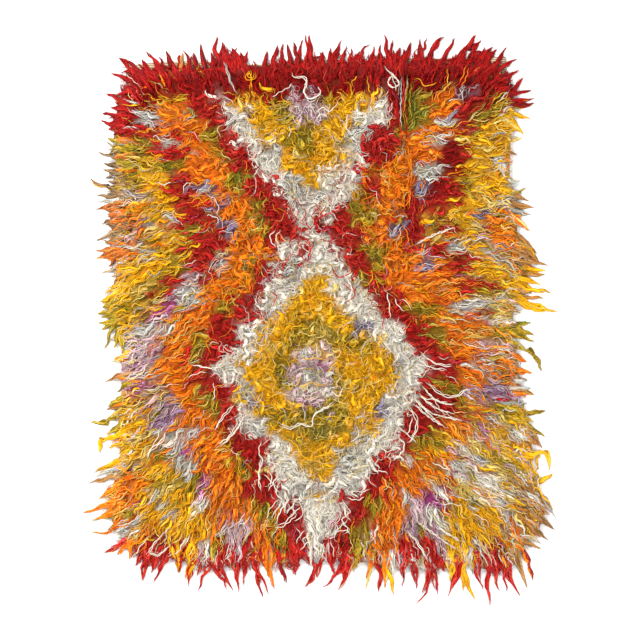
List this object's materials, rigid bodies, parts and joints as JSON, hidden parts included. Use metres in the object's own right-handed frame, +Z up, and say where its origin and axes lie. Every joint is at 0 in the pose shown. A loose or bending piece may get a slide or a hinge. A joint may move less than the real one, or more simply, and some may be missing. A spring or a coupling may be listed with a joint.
{
  "type": "tulu rug",
  "caption": "Small hand-knotted tulu rug lying flat, a woven ground under a thick shaggy pile with long locks all round its rim.",
  "frame": {"origin": "on the floor under the rug's middle, in the underside of the woven ground", "axes": "+X to the right across the rug and +Y along it to the end with the broad red band, +Z up out of the pile"},
  "size_m": [1.3585, 1.6295, 0.0562],
  "materials": {
    "ground_wool": "undyed flat-woven wool, matt",
    "pile_wool": "long glossy goat-hair and wool locks, dyed red, orange, gold, olive, white and mauve"
  },
  "bodies": {
    "root": {"woven_ground": "ground_wool", "shag_pile": "pile_wool"}
  },
  "joints": []
}
